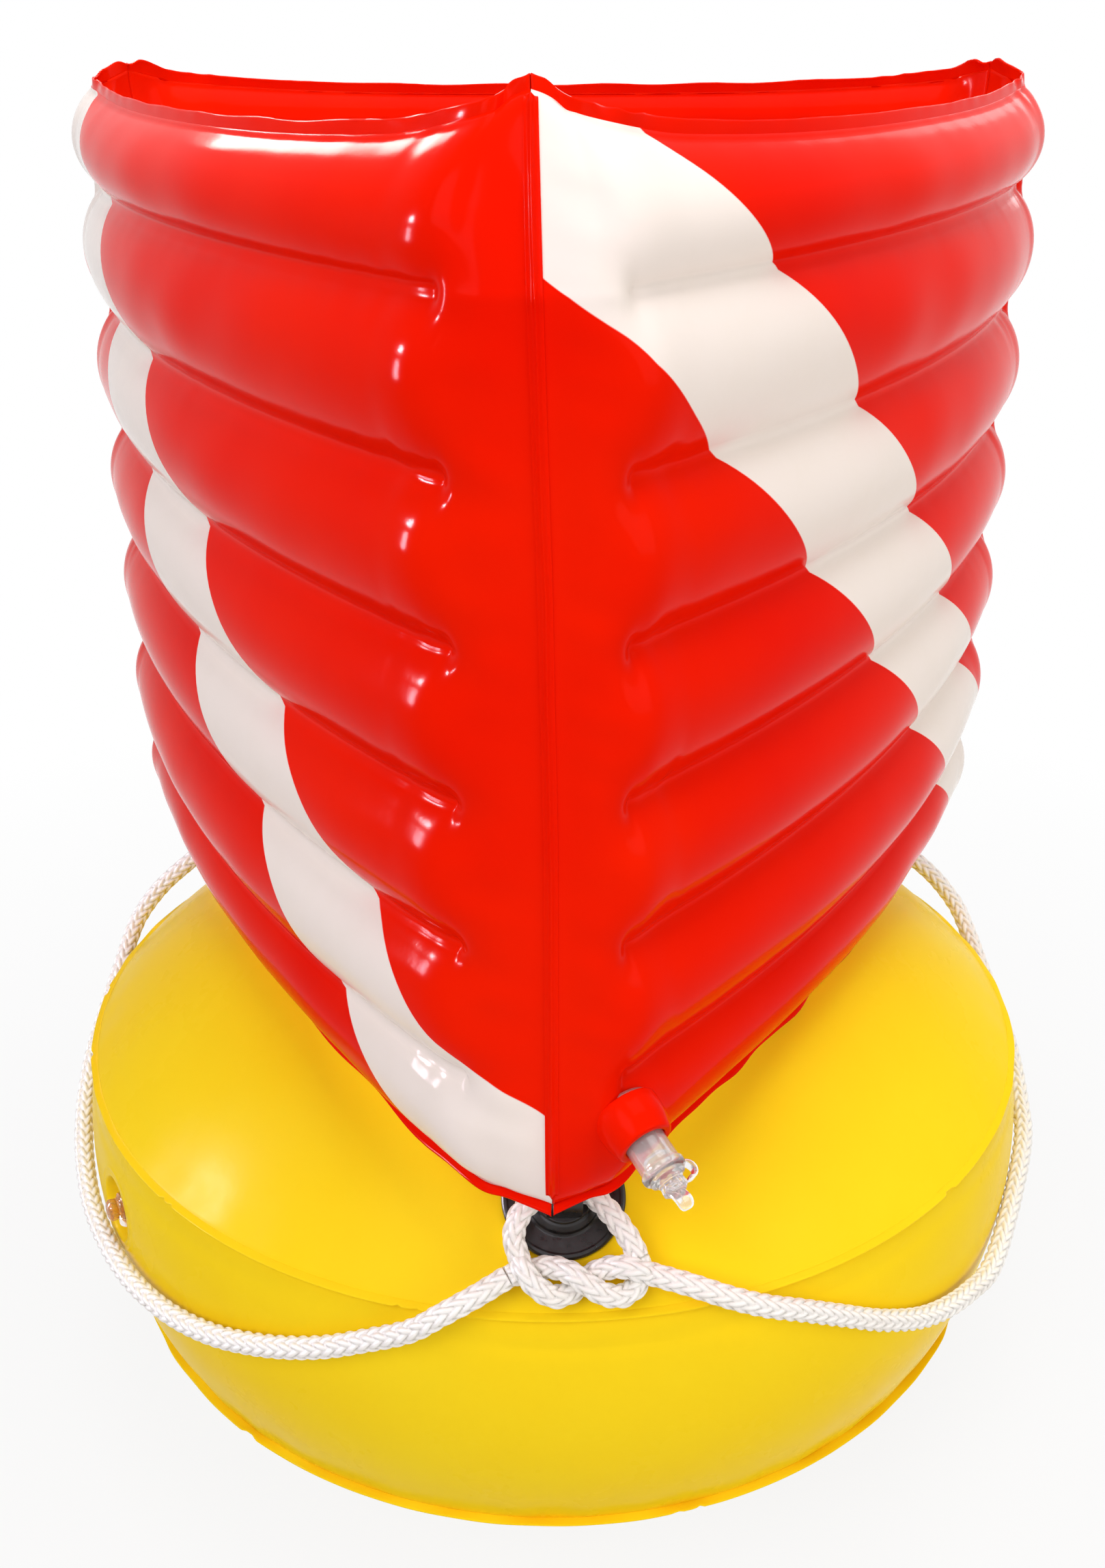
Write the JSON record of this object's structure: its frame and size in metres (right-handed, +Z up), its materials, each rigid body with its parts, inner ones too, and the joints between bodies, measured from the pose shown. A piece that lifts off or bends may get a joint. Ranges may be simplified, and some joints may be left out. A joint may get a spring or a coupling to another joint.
{
  "type": "dive flag float",
  "caption": "Inflatable dive marker: a hollow three-sided flag of welded air channels on a domed drum float, with a braided rope through moulded eyes.",
  "frame": {"origin": "middle of the flat patch on the underside that the drum rests on", "axes": "+Z up along the drum's axis; -Y towards the flag's front corner, where the rope is knotted; +X to the right as seen from that corner"},
  "size_m": [0.4133, 0.4318, 0.5217],
  "materials": {
    "red_film": "glossy welded PVC film, red, printed with a white diagonal band on each face",
    "yellow_film": "semi-gloss welded PVC film, yellow",
    "clear_vinyl": "soft clear moulded vinyl",
    "black_rubber": "moulded black vinyl, satin",
    "white_rope": "braided white line"
  },
  "bodies": {
    "buoy": {"float_top_panel": "yellow_film", "float_side_wall": "yellow_film", "float_bottom_panel": "yellow_film", "float_top_weld_ring": "yellow_film", "float_bottom_weld_ring": "yellow_film", "float_valve_cup": "yellow_film", "flag_outer_panel_front_left": "red_film", "flag_outer_panel_front_right": "red_film", "flag_outer_panel_back": "red_film", "flag_inner_panel_front_left": "red_film", "flag_inner_panel_front_right": "red_film", "flag_inner_panel_back": "red_film", "flag_corner_seam_front": "red_film", "flag_corner_seam_back_right": "red_film", "flag_corner_seam_back_left": "red_film", "flag_rim_lip_front_left": "red_film", "flag_rim_lip_front_right": "red_film", "flag_rim_lip_back": "red_film", "flag_bottom_flange_front_left": "red_film", "flag_bottom_flange_front_right": "red_film", "flag_bottom_flange_back": "red_film", "flag_valve_collar": "red_film", "holder_base_front": "black_rubber", "holder_base_back_right": "black_rubber", "holder_base_back_left": "black_rubber", "holder_eye_front": "black_rubber", "holder_eye_back_right": "black_rubber", "holder_eye_back_left": "black_rubber", "rope_left": "white_rope", "rope_right": "white_rope", "rope_back": "white_rope", "rope_bight": "white_rope", "rope_knot": "white_rope"},
    "flag_stem": {"flag_valve_stem": "clear_vinyl", "flag_valve_strap": "clear_vinyl"},
    "flag_plug": {"flag_valve_plug": "clear_vinyl"},
    "flag_flap": {"flag_valve_flap": "clear_vinyl"},
    "float_stem": {"float_valve_stem": "clear_vinyl", "float_valve_strap": "clear_vinyl"},
    "float_plug": {"float_valve_plug": "clear_vinyl"},
    "float_flap": {"float_valve_flap": "clear_vinyl"}
  },
  "joints": [
    {"name": "flag_valve_push_in", "type": "slide", "parent": "buoy", "child": "flag_stem", "axis": [0.5146, -0.7703, -0.3765], "range_m": [-0.0045, 0]},
    {"name": "flag_plug_pull", "type": "slide", "parent": "flag_stem", "child": "flag_plug", "axis": [0.5146, -0.7703, -0.3765], "range_m": [0, 0.009]},
    {"name": "flag_flap_swing", "type": "hinge", "parent": "flag_stem", "child": "flag_flap", "pos_m": [0.02935, -0.18987, 0.23389], "axis": [0.3575, -0.2064, 0.9108], "range_deg": [-18, 0]},
    {"name": "float_valve_pull_out", "type": "slide", "parent": "buoy", "child": "float_stem", "axis": [-0.8433, -0.5352, 0.0497], "range_m": [0, 0.014]},
    {"name": "float_plug_pull", "type": "slide", "parent": "float_stem", "child": "float_plug", "axis": [-0.8433, -0.5352, 0.0497], "range_m": [0, 0.009]},
    {"name": "float_flap_swing", "type": "hinge", "parent": "float_stem", "child": "float_flap", "pos_m": [-0.13989, -0.09494, 0.11553], "axis": [0.042, 0.0266, 0.9988], "range_deg": [-35, 0]}
  ]
}
